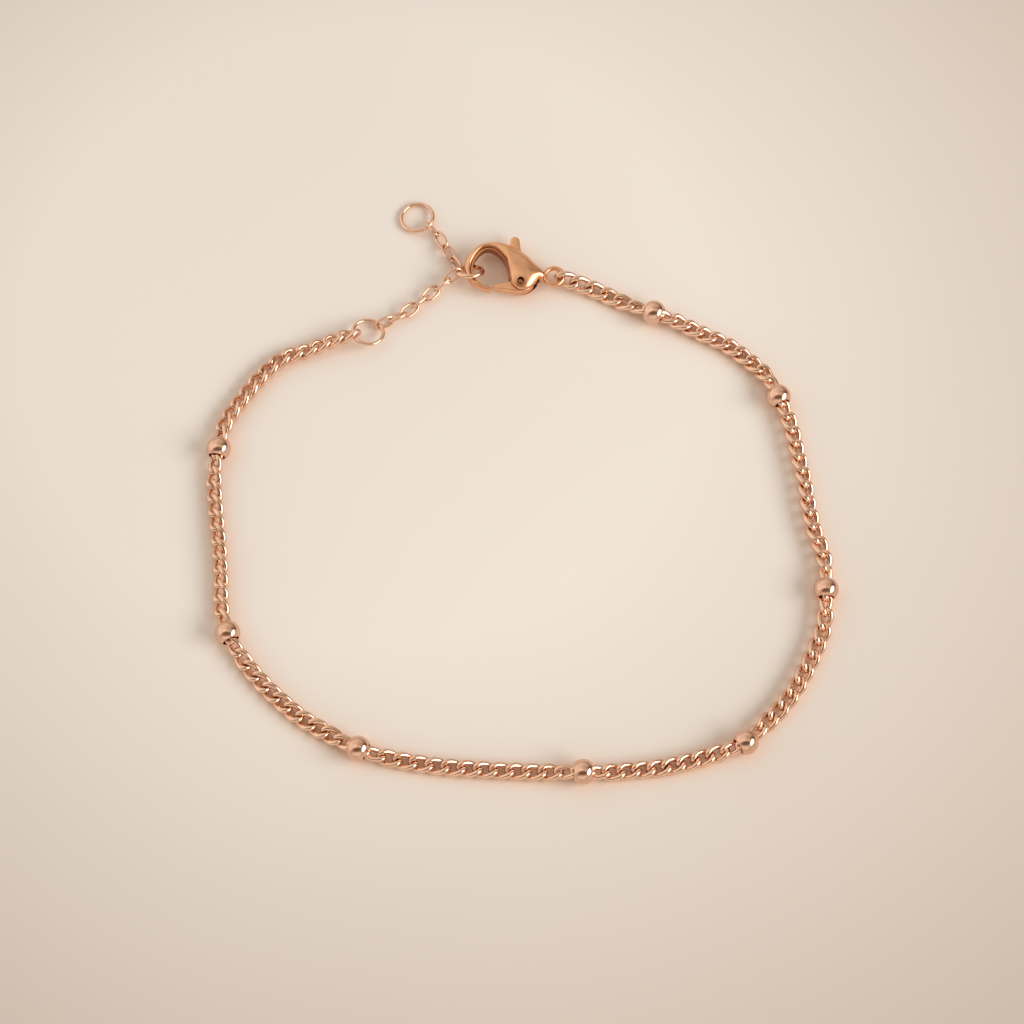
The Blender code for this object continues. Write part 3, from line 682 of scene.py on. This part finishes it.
def curb_stations():
    """Place, direction, roll, spacing and bead neighbourhood of every link, in order."""
    eyelet, ring = curb_ends()
    flat_points = [Vector((eyelet.x, eyelet.y, 0))]
    flat_points += [Vector((x, y, 0)) for x, y, _, _ in CURB_ROUTE]
    flat_points.append(Vector((ring.x, ring.y, 0)))
    route = Route(flat_points)

    half_link = (CURB_PITCH + CURB_WIRE) / 2
    first = EYELET_HOLE / 2 - LINK_CLEARANCE - CURB_WIRE / 2 + half_link
    last = route.length - half_link + (CHAIN_RING_WIRE + CURB_WIRE) / 2 + LINK_CLEARANCE
    beads = [route.nearest(Vector((x, y, 0))) for x, y, _, bead in CURB_ROUTE if bead]

    # The roll is read along the route, and each end link stands so that its crown is upright.
    upright = math.radians(90)
    rolls = [(first, upright + CURB_TWIST)]
    for x, y, roll, _ in CURB_ROUTE:
        rolls.append((route.nearest(Vector((x, y, 0))), math.radians(roll)))
    rolls.append((last, upright - CURB_TWIST - math.pi))
    rolls = [row for row in rolls if first <= row[0] <= last]

    marks = [first, *beads, last]
    stations = []
    for start, end in zip(marks, marks[1:]):
        count = max(round((end - start) / CURB_PITCH), 2)
        for k in range(count if end != last else count + 1):
            stations.append([start + (end - start) * k / count, (end - start) / count])

    heights = [(bead, BEAD_DIAMETER / 2 - BEAD_DROP) for bead in beads]
    heights += [(first, eyelet.z), (last, ring.z)]
    links = []
    for distance, spacing in stations:
        roll = read_table(rolls, distance)
        height = link_half_height(roll) + FLOOR_CLEARANCE
        lift = 0.0
        for mark, level in heights:
            lift += max(level - height, 0) * math.exp(-(((distance - mark) / CLIMB_LENGTH) ** 2))
        place = route.at(distance)
        place.z = height + lift
        to_bead = min(abs(distance - bead) for bead in beads)
        links.append({"place": place, "roll": roll, "spacing": spacing, "to_bead": to_bead})
    bead_places = [(route.at(bead), route.direction(bead, CURB_PITCH)) for bead in beads]
    return links, bead_places


def read_table(table, at):
    """Value at a distance, from rows of distance and value with straight lines between."""
    for (low, start), (high, end) in zip(table, table[1:]):
        if at <= high:
            return start + (end - start) * max(at - low, 0) / (high - low)
    return table[-1][1]


def link_width(to_bead, spacing):
    """Links narrow towards a bead, so that they pass into its bore."""
    if to_bead < spacing / 2:
        return BEAD_LINK_WIDTH
    if to_bead < spacing * 3 / 2:
        return SHOULDER_WIDTH
    return CURB_WIDTH


def curb_chain(node, links, stretch):
    """One run of interlocking links as round polished wire, with painted shade on the inner side,
    darkest inside each crown.
    """
    points = []
    faces = []
    painted_shade_shares = []
    for i in stretch:
        link = links[i]
        before = links[max(i - 1, 0)]["place"]
        after = links[min(i + 1, len(links) - 1)]["place"]
        direction = (after - before).normalized()
        gap_back = (link["place"] - before).length or link["spacing"]
        gap_ahead = (after - link["place"]).length or link["spacing"]
        grip_back = CURB_GRIP if i != stretch[0] else -LINK_CLEARANCE
        grip_ahead = CURB_GRIP if i != stretch[-1] else -LINK_CLEARANCE
        centres = oval_points(
            (gap_back + CURB_WIRE - grip_back) / 2,
            (gap_ahead + CURB_WIRE - grip_ahead) / 2,
            (link_width(link["to_bead"], link["spacing"]) - CURB_WIRE) / 2,
            CURB_TWIST,
            CURB_SQUARENESS,
            CURB_STEPS,
        )
        wire, inward = wire_loop(centres, CURB_WIRE / 2, CURB_SIDES)
        faces += grid_faces(CURB_STEPS, CURB_SIDES, len(points))
        matrix = link_matrix(link["place"], direction, link["roll"])
        points += [matrix @ point for point in wire]
        # Painted shade on the inner side of the wire, most where the next link's crown sits
        for k, share in enumerate(inward):
            crown = abs(centres[k // CURB_SIDES].x) / ((link["spacing"] + CURB_WIRE) / 2)
            painted_shade_shares.append(share * (CURB_SHADE + CURB_CROWN_SHADE * min(crown, 1) ** 3))
    mesh = smooth_mesh(node, points, faces, painted_shade_shares)
    add_piece(f"{node}_links", mesh, CHAIN_METAL, Matrix.Identity(4), node)


def add_curb_chain():
    links, bead_places = curb_stations()
    add_beads(bead_places)
    in_beads = [i for i, link in enumerate(links) if link["to_bead"] < TOUCH]
    middle = len(in_beads) // 2
    split = (in_beads[middle - 1] + in_beads[middle]) // 2
    curb_chain("curb_chain_a", links, range(0, split + 1))
    curb_chain("curb_chain_b", links, range(split + 1, len(links)))


# Beads
def bead_profile():
    """Radius, height and painted shade round the bead's wall, down outside and up its bore."""
    outer = BEAD_DIAMETER / 2
    bore = BEAD_BORE / 2
    half = BEAD_LENGTH / 2
    reach = math.asin(half / outer)
    lip = (bore + outer * math.cos(reach)) / 2
    profile = []
    for k in range(BEAD_PROFILE_STEPS + 1):
        angle = reach * (1 - 2 * k / BEAD_PROFILE_STEPS)
        profile.append((outer * math.cos(angle), outer * math.sin(angle), 0.0))
    lip_end = half * BEAD_LIP_REACH
    bore_end = half * BEAD_BORE_REACH
    # Painted shade that deepens from the lips into the middle of the bore
    profile += [(lip, -lip_end, 0.2), (bore, -bore_end, 0.7), (bore, 0, 1.0)]
    profile += [(bore, bore_end, 0.7), (lip, lip_end, 0.2)]
    return profile


def bead_mesh(name):
    profile = bead_profile()
    points = []
    painted_shade_shares = []
    for k in range(BEAD_STEPS):
        angle = -2 * math.pi * k / BEAD_STEPS
        for radius, height, dark in profile:
            points.append((radius * math.cos(angle), radius * math.sin(angle), height))
            painted_shade_shares.append(dark * BEAD_SHADE)
    return smooth_mesh(name, points, grid_faces(BEAD_STEPS, len(profile)), painted_shade_shares)


def add_beads(places):
    for k, (place, direction) in enumerate(places):
        # The beads are counted from the chain ring round to the clasp.
        node = f"bead_{len(places) - k}"
        lie = direction.to_track_quat("Z", "Y").to_matrix().to_4x4()
        at = Vector((place.x, place.y, BEAD_DIAMETER / 2))
        matrix = Matrix.Translation(at) @ lie
        add_piece(f"{node}_turned", bead_mesh(node), BEAD_METAL, matrix, node)


# Extender
def cable_run(name, start, via, end, wires, rolls):
    """Links from one ring's wire to another's. wires holds the two rings' wire sizes."""
    lifted = [Vector((x, y, CABLE_HEIGHT)) for x, y in via]
    route = Route([start, *lifted, end])
    half = (CABLE_LENGTH - CABLE_WIRE) / 2
    first = half - (wires[0] + CABLE_WIRE) / 2 - LINK_CLEARANCE
    last = route.length - half + (wires[1] + CABLE_WIRE) / 2 + LINK_CLEARANCE
    half_width = (CABLE_WIDTH - CABLE_WIRE) / 2
    centres = oval_points(half, half, half_width, 0, CABLE_SQUARENESS, CABLE_STEPS)
    wire, inward = wire_loop(centres, CABLE_WIRE / 2, CABLE_SIDES)
    # Painted shade on the inner side of the wire, darkest at the crowns
    painted_shade_shares = []
    for k, share in enumerate(inward):
        crown = abs(centres[k // CABLE_SIDES].x) / half
        painted_shade_shares.append(share * (CABLE_SHADE + CABLE_CROWN_SHADE * crown**4))
    for k, roll in enumerate(rolls):
        distance = first + (last - first) * k / (len(rolls) - 1)
        direction = route.direction(distance, half * CABLE_AIM_SHARE)
        matrix = link_matrix(route.at(distance), direction, math.radians(roll))
        node = f"{name}_{k + 1:02d}"
        mesh = smooth_mesh(node, wire, grid_faces(CABLE_STEPS, CABLE_SIDES), painted_shade_shares)
        add_piece(f"{node}_wire", mesh, WIRE_METAL, matrix, node)


def hook_ring_centre():
    x, y = HOOK_RING_PLACE
    return (CLASP_PIVOT[0] + x, CLASP_PIVOT[1] + y, CLASP_MIDDLE_HEIGHT)


def add_extender():
    chain_ring = (
        CHAIN_RING_CENTRE,
        CHAIN_RING_DIAMETER,
        CHAIN_RING_WIRE,
        CHAIN_RING_SLOPE,
        CHAIN_RING_SLOPE_AXIS,
    )
    hook_ring = (
        hook_ring_centre(),
        HOOK_RING_DIAMETER,
        HOOK_RING_WIRE,
        HOOK_RING_SLOPE,
        HOOK_RING_SLOPE_AXIS,
    )
    end_ring = (
        END_RING_CENTRE,
        END_RING_DIAMETER,
        END_RING_WIRE,
        END_RING_SLOPE,
        END_RING_SLOPE_AXIS,
    )
    wire_ring("chain_ring", *chain_ring)
    wire_ring("hook_ring", *hook_ring)
    wire_ring("end_ring", *end_ring)
    cable_run(
        "extender_link",
        ring_point(*chain_ring, CHAIN_RING_EXTENDER_ANGLE),
        EXTENDER_ROUTE,
        ring_point(*hook_ring, HOOK_RING_EXTENDER_ANGLE),
        (CHAIN_RING_WIRE, HOOK_RING_WIRE),
        EXTENDER_ROLLS,
    )
    cable_run(
        "tail_link",
        ring_point(*hook_ring, HOOK_RING_TAIL_ANGLE),
        TAIL_ROUTE,
        ring_point(*end_ring, END_RING_TAIL_ANGLE),
        (HOOK_RING_WIRE, END_RING_WIRE),
        TAIL_ROLLS,
    )


# Clasp
def fine_ribs():
    """The ribs and more between them: outer point, inner point and half thickness."""
    edges = [Vector(row[:4]) for row in CLASP_RIBS]
    thick = [Vector((row[4], k * CLASP_RIB_SPACING, 0)) for k, row in enumerate(CLASP_RIBS)]
    ribs = []
    places = smooth_route(edges, CLASP_RIB_STEPS)
    depths = smooth_route(thick, CLASP_RIB_STEPS)
    for place, depth in zip(places, depths):
        ribs.append((Vector((place[0], place[1], 0)), Vector((place[2], place[3], 0)), depth[0]))
    return ribs


def rib_points(outer, inner, half_thickness):
    """An upright section: domed, with a fine raised rim on the inner edge, flat on the surface."""
    middle = (outer + inner) / 2
    half = (outer - inner) / 2
    dome_end = 1 - min(CLASP_RIM_WIDTH / half.length, 0.5)
    groove = CLASP_RIM_GROOVE / half_thickness
    fall = 1 - (CLASP_RIM_RISE - groove) ** 2
    quarter = CLASP_SECTION_SIDES // 4
    upper = []
    for k in range(quarter):
        angle = math.pi / 2 * (k + 0.5) / quarter
        upper.append((math.cos(angle) ** CLASP_DOME_POWER, math.sin(angle) ** CLASP_DOME_POWER))
    for k in range(quarter + 1):
        share = math.sin(math.pi / 2 * k / quarter)
        upper.append((-dome_end * share, math.sqrt(1 - share**2 * fall)))
    for across, sink in CLASP_RIM_SHAPE:
        upper.append((-dome_end - across * (1 - dome_end), CLASP_RIM_RISE - sink * groove))
    lower = [(side, -rise) for side, rise in reversed(upper)]
    points = []
    for side, rise in upper + lower:
        z = max(half_thickness * rise, -CLASP_MIDDLE_HEIGHT)
        points.append(Vector((middle.x + half.x * side, middle.y + half.y * side, z)))
    return points


def loft(name, sections):
    """A closed solid through sections that are loops of the same number of points."""
    sides = len(sections[0])
    points = [point for section in sections for point in section]
    faces = grid_faces(len(sections), sides, closed=False)
    faces += end_faces(len(points), sides)
    mesh = plain_mesh(name, points, faces)
    mend_mesh(mesh)
    return mesh


def plate_mesh(name, outline, holes, thickness, bevel=0.0):
    """A flat outline with round holes, extruded both ways from its middle plane."""
    data = bpy.data.curves.new(name, "CURVE")
    data.dimensions = "2D"
    data.fill_mode = "BOTH"
    data.extrude = thickness / 2 - bevel
    data.bevel_depth = bevel
    data.bevel_resolution = 3
    data.offset = -bevel
    for loop in (outline, *holes):
        spline = data.splines.new("POLY")
        spline.points.add(len(loop) - 1)
        for point, place in zip(spline.points, loop):
            point.co = (place[0], place[1], 0, 1)
        spline.use_cyclic_u = True
    guide = put_object(name, data)
    graph = bpy.context.evaluated_depsgraph_get()
    mesh = bpy.data.meshes.new_from_object(guide.evaluated_get(graph))
    bpy.data.objects.remove(guide)
    mend_mesh(mesh, merge=PLATE_MERGE)
    return mesh


def circle_points(centre, radius, steps, start=0.0, end=2 * math.pi, closed=False):
    """Plan points on a circle, or on an arc whose last point closed adds."""
    count = steps + 1 if closed else steps
    return [
        (
            centre[0] + radius * math.cos(start + (end - start) * k / steps),
            centre[1] + radius * math.sin(start + (end - start) * k / steps),
        )
        for k in range(count)
    ]


def along(angle, distance, aside=0.0):
    """Plan point at a distance from the pivot, and aside to the left of the way out."""
    return (
        distance * math.cos(angle) - aside * math.sin(angle),
        distance * math.sin(angle) + aside * math.cos(angle),
    )


def clasp_matrix():
    return Matrix.Translation((*CLASP_PIVOT, CLASP_MIDDLE_HEIGHT))


def lever_angles():
    """Which way the thumb tab and the gate point from the pivot."""
    tab = math.atan2(TAB_TOP[1], TAB_TOP[0])
    gate = math.atan2(GATE_TIP[1], GATE_TIP[0]) % (2 * math.pi)
    return tab, gate


def lever_outline():
    """Counterclockwise from the thumb tab's right side, over its round top, to the gate and the heel."""
    tab, gate = lever_angles()
    tab_length = math.hypot(*TAB_TOP)
    gate_length = math.hypot(*GATE_TIP)
    half_tab = TAB_WIDTH / 2
    top_centre = along(tab, tab_length - half_tab)
    outline = [along(tab, LEVER_BOSS_RADIUS, -half_tab)]
    quarter = math.pi / 2
    outline += circle_points(top_centre, half_tab, TAB_STEPS, tab - quarter, tab + quarter, closed=True)
    outline.append(along(tab, LEVER_ROOT_REACH, half_tab))
    outline.append(along(gate, LEVER_ROOT_REACH, -GATE_ROOT_WIDTH / 2))
    outline.append(along(gate, gate_length, -GATE_TIP_WIDTH / 2))
    outline.append(along(gate, gate_length, GATE_TIP_WIDTH / 2))
    heel = smooth_route([Vector((x, y, 0)) for x, y in LEVER_HEEL], LEVER_HEEL_STEPS)
    return outline + [(point.x, point.y) for point in heel]


def slot_outline():
    """Room in the clasp for the lever from shut to open, open along the lower edge of the body."""
    tab, gate = lever_angles()
    reach = math.hypot(*TAB_TOP)
    half_tab = TAB_WIDTH / 2 + SLOT_CLEARANCE
    half_gate = GATE_ROOT_WIDTH / 2 + SLOT_CLEARANCE
    boss = LEVER_BOSS_RADIUS + 2 * SLOT_CLEARANCE
    root = LEVER_ROOT_REACH + 2 * SLOT_CLEARANCE
    gate_reach = math.hypot(*GATE_TIP) * SLOT_GATE_SHARE
    outside = LEVER_BOSS_RADIUS * 2
    return [
        along(tab - LEVER_TRAVEL, boss, -half_tab),
        along(tab - LEVER_TRAVEL, reach, -half_tab),
        along(tab, reach, half_tab),
        along(tab, root, half_tab),
        along(gate - LEVER_TRAVEL, root, -half_gate),
        along(gate - LEVER_TRAVEL, gate_reach, -half_gate),
        along(gate, gate_reach, outside),
        (0.0, -outside),
        (SLOT_SHOULDER[0], -outside),
        (SLOT_SHOULDER[0] + SLOT_CLEARANCE, SLOT_SHOULDER[1] - LEVER_BOSS_RADIUS),
        SLOT_SHOULDER,
    ]


def turned_mesh(name, profile, steps):
    """A solid turned about Z from radius and height, from its lower end to its upper."""
    points = []
    for radius, height in profile:
        for k in range(steps):
            angle = 2 * math.pi * k / steps
            points.append((radius * math.cos(angle), radius * math.sin(angle), height))
    faces = grid_faces(len(profile), steps, closed=False)
    faces += end_faces(len(points), steps)
    return plain_mesh(name, points, faces)


def cut_mesh(mesh, cuts):
    """The mesh with each of cuts, a mesh and a Boolean operation, done to it in turn."""
    work = put_object("work", mesh)
    others = []
    for other, operation in cuts:
        obj = put_object("cutter", other)
        others.append(obj)
        modifier = work.modifiers.new("cut", "BOOLEAN")
        modifier.operation = operation
        modifier.solver = "EXACT"
        modifier.object = obj
    graph = bpy.context.evaluated_depsgraph_get()
    made = bpy.data.meshes.new_from_object(work.evaluated_get(graph))
    for obj in (work, *others):
        bpy.data.objects.remove(obj)
    return made


def eyelet_mesh():
    centres = circle_centres(EYELET_HOLE + 2 * EYELET_WIRE, EYELET_WIRE)
    points, _ = wire_loop(centres, EYELET_WIRE / 2, RING_SIDES)
    mesh = plain_mesh("eyelet", points, grid_faces(RING_STEPS, RING_SIDES))
    mesh.transform(Matrix.Diagonal((1, 1, EYELET_DEPTH / EYELET_WIRE, 1)))
    mesh.transform(Matrix.Translation((*EYELET_PLACE, 0)))
    return mesh


def clasp_painted_shade(body):
    """Painted shade: darkest in the lever's slot and the pin hole, and dark on the hook's inner wall."""
    hole_reach = (PIN_RADIUS + PIN_CLEARANCE) * PIN_HOLE_TOLERANCE
    slot_half = LEVER_THICKNESS / 2 + SLOT_CLEARANCE
    painted_shade_shares = []
    for vertex in body.vertices:
        in_hole = math.hypot(vertex.co.x, vertex.co.y) < hole_reach
        in_slot = abs(abs(vertex.co.z) - slot_half) < TOUCH
        inwards = HOOK_CENTRE - vertex.co
        inwards.z = 0
        if in_hole or in_slot:
            painted_shade_shares.append(SLOT_SHADE)
        elif inwards.length < HOOK_SHADE_REACH:
            facing = max(vertex.normal.dot(inwards.normalized()), 0)
            painted_shade_shares.append(HOOK_SHADE * facing**2)
        else:
            painted_shade_shares.append(0.0)
    return painted_shade_shares


def finish_clasp_part(name, mesh, material, node, edge, body="bracelet"):
    """Smooths the mesh except at edges sharper than edge, and puts it at the clasp's place."""
    mesh.shade_smooth()
    mesh.set_sharp_from_angle(angle=edge)
    add_piece(name, mesh, material, clasp_matrix(), node, body)


def add_clasp():
    hole_radius = PIN_RADIUS + PIN_CLEARANCE
    hole_half = CLASP_MIDDLE_HEIGHT * PIN_HOLE_REACH
    hole_profile = [(hole_radius, -hole_half), (hole_radius, hole_half)]
    hole = turned_mesh("pin_hole", hole_profile, PIN_STEPS)
    slot = plate_mesh("lever_slot", slot_outline(), [], LEVER_THICKNESS + 2 * SLOT_CLEARANCE)
    cast = loft("clasp_body", [rib_points(*rib) for rib in fine_ribs()])
    body = cut_mesh(cast, [(eyelet_mesh(), "UNION"), (slot, "DIFFERENCE"), (hole, "DIFFERENCE")])
    set_painted_shade(body, clasp_painted_shade(body))
    finish_clasp_part("clasp_body_cast", body, CLASP_METAL, "clasp_body", CAST_EDGE)

    lever_hole = circle_points((0, 0), hole_radius, PIN_STEPS)
    lever = plate_mesh("clasp_lever", lever_outline(), [lever_hole], LEVER_THICKNESS, LEVER_BEVEL)
    finish_clasp_part("clasp_lever_stamped", lever, LEVER_METAL, "clasp_lever", CUT_EDGE, "lever")

    half = CLASP_MIDDLE_HEIGHT - PIN_RECESS
    edge = PIN_RADIUS * PIN_EDGE_SHARE
    upper = [
        (PIN_RADIUS, half - edge),
        (PIN_RADIUS - edge, half - edge * PIN_EDGE_DROP),
        (PIN_RADIUS * PIN_FACE_SHARE, half),
    ]
    lower = [(radius, -height) for radius, height in reversed(upper)]
    pin = turned_mesh("clasp_pin", lower + upper, PIN_STEPS)
    # The whole pin gets a painted shade, as it sits recessed in its hole
    set_painted_shade(pin, [PIN_SHADE] * len(pin.vertices))
    finish_clasp_part("clasp_pin_turned", pin, CLASP_METAL, "clasp_pin", CUT_EDGE)


# Surroundings
def add_floor():
    bpy.ops.mesh.primitive_plane_add(size=FLOOR_SIZE)
    floor = bpy.context.object
    floor.name = "floor"
    floor.data.materials.append(floor_cloth())


def add_window():
    """One large soft light, aimed at the middle of the bracelet."""
    data = bpy.data.lights.new("window", "AREA")
    data.shape = "ELLIPSE"
    data.size = WINDOW_SIZE[0]
    data.size_y = WINDOW_SIZE[1]
    data.energy = WINDOW_POWER
    data.color = WINDOW_COLOUR
    light = put_object("window", data)
    light.location = WINDOW_PLACE
    light.rotation_euler = (-Vector(WINDOW_PLACE)).to_track_quat("-Z", "Y").to_euler()


def add_world():
    """A soft room, bright on one side, with drifting patches and the dark oval overhead."""
    world = bpy.data.worlds.new("soft_room")
    world.use_nodes = True
    tree = world.node_tree
    way = add_node(tree, "ShaderNodeTexCoord").outputs["Generated"]
    lean = vector_math(tree, "DOT_PRODUCT", way, ROOM_BRIGHT_WAY, output="Value")
    noise = object_noise(tree, way, ROOM_PATCH_SCALE, 2)
    patches = spread(tree, noise, ROOM_PATCH_LOW, ROOM_PATCH_HIGH)
    total = add_node(tree, "ShaderNodeMath", {0: lean, 1: patches}).outputs[0]
    share = ramp(tree, total, -ROOM_FADE, ROOM_FADE)
    shifted = vector_math(tree, "ADD", way, OVAL_SHIFT)
    squeezed = vector_math(tree, "MULTIPLY", shifted, OVAL_SQUEEZE)
    distance = vector_math(tree, "LENGTH", squeezed, output="Value")
    off_oval = ramp(tree, distance, OVAL_EDGE_START, OVAL_EDGE_END)
    lit = add_node(
        tree, "ShaderNodeMath", {0: share, 1: off_oval}, operation="MULTIPLY"
    ).outputs[0]
    room = mix_colours(tree, lit, ROOM_DARK, ROOM_BRIGHT)
    tree.links.new(room, tree.nodes["Background"].inputs["Color"])
    bpy.context.scene.world = world
    bpy.context.scene.view_settings.view_transform = "Standard"


def add_camera():
    data = bpy.data.cameras.new("camera")
    data.lens_unit = "FOV"
    data.angle = CAMERA_FIELD
    data.clip_start = 0.01
    data.clip_end = 10
    camera = put_object("camera", data)
    back = Vector((0, -math.cos(CAMERA_ELEVATION), math.sin(CAMERA_ELEVATION)))
    camera.location = CAMERA_TARGET + back * CAMERA_DISTANCE
    camera.rotation_euler = (-back).to_track_quat("-Z", "Y").to_euler()
    bpy.context.scene.camera = camera


# The metals, each with its two tones, its dark tone for tarnish and painted shade, its gloss and its
# surface marks
CHAIN_METAL = plated_metal("chain_polish", ROSE, ROSE_WARM, ROSE_DARK, (0.12, 0.24), 0.15)
BEAD_METAL = plated_metal("bead_polish", ROSE_BEAD, ROSE, ROSE_DARK, (0.06, 0.16), 0.12)
WIRE_METAL = plated_metal("wire_polish", ROSE, ROSE_WARM, ROSE_DARK, (0.14, 0.26), 0.15)
CLASP_METAL = plated_metal("clasp_satin", COPPER, COPPER_WARM, COPPER_DARK, (0.25, 0.36), 0.12)
LEVER_METAL = plated_metal("lever_satin", COPPER_WARM, COPPER, COPPER_DARK, (0.28, 0.40), 0.12)

# Room, camera, floor and bracelet
add_world()
add_camera()
add_floor()
add_window()
add_clasp()
add_extender()
add_curb_chain()
